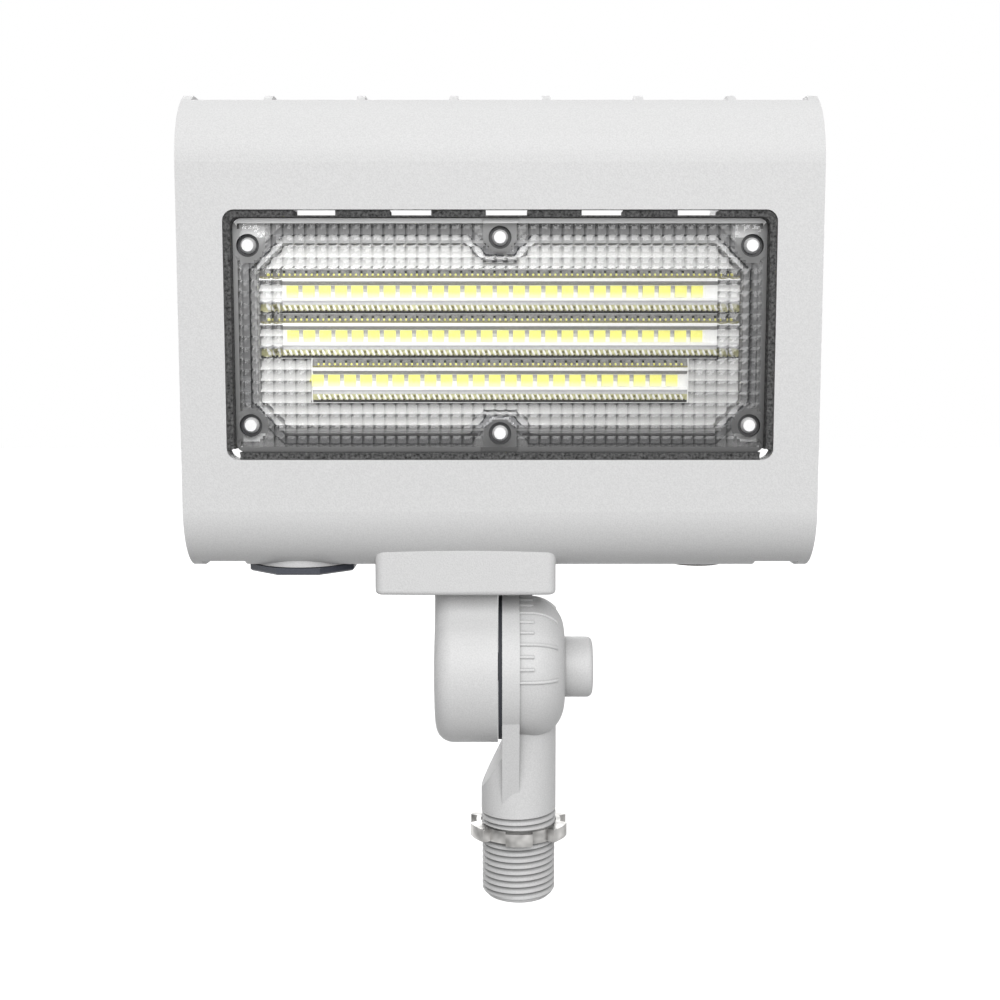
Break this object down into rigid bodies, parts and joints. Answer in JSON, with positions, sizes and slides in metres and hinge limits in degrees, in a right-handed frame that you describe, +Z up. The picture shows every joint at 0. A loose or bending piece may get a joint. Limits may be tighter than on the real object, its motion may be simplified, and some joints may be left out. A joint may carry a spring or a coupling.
{
  "type": "flood light",
  "caption": "White knuckle-mounted LED flood light: finned head with a clear patterned lens, tilting knuckle, threaded stem with lock nut, photocell and capped sensor port.",
  "frame": {"origin": "on the axis of the threaded stem, at the lower end of its thread wall", "axes": "+Z up along the stem, -Y the way the light shines, +X to the right of someone facing the lens"},
  "size_m": [0.168, 0.049, 0.2233],
  "materials": {
    "white_coat": "die-cast aluminium with fine-textured white powder coat",
    "clear_lens": "clear moulded polycarbonate",
    "dark_seal": "dark grey silicone rubber, matt",
    "white_screw": "steel screw with white finish",
    "thermal_pad": "grey heat-conducting pad",
    "board_white": "metal-core circuit board with white mask",
    "led_phosphor": "yellow phosphor over the chip",
    "driver_plastic": "black moulded plastic",
    "zinc_steel": "zinc-plated steel",
    "cap_plastic": "dark blue-grey moulded plastic",
    "photocell_tint": "dark tinted plastic"
  },
  "bodies": {
    "arm": {"knuckle_arm": "white_coat", "knuckle_seal": "dark_seal", "flat_washer": "zinc_steel", "spring_washer": "zinc_steel", "pivot_bolt": "zinc_steel"},
    "head": {"housing": "white_coat", "lens_cover": "clear_lens", "lens_gasket": "dark_seal", "lens_edge_seal": "dark_seal", "lens_screws": "white_screw", "thermal_pad": "thermal_pad", "led_board": "board_white", "led_chips": "led_phosphor", "linear_optics": "clear_lens", "driver_case": "driver_plastic", "driver_screws": "zinc_steel", "rear_cover": "white_coat", "rear_cover_gasket": "dark_seal", "rear_cover_screws": "zinc_steel", "sensor_port_cap": "cap_plastic", "sensor_port_seal": "dark_seal", "sensor_port_nut": "cap_plastic", "photocell_window": "photocell_tint", "photocell_body": "driver_plastic", "photocell_nut": "driver_plastic", "wire_grommet": "dark_seal", "knuckle_base": "white_coat", "flange_o_ring": "dark_seal", "flange_screws": "zinc_steel"},
    "lock_nut": {"lock_nut": "zinc_steel"}
  },
  "joints": [
    {"name": "tilt", "type": "hinge", "parent": "arm", "child": "head", "pos_m": [-0.00535, 0, 0.065], "axis": [1, 0, 0], "range_deg": [-90, 90]},
    {"name": "lock_nut_turn", "type": "hinge", "parent": "arm", "child": "lock_nut", "pos_m": [0, 0, 0.0185], "axis": [0, 0, 1], "continuous": true}
  ]
}
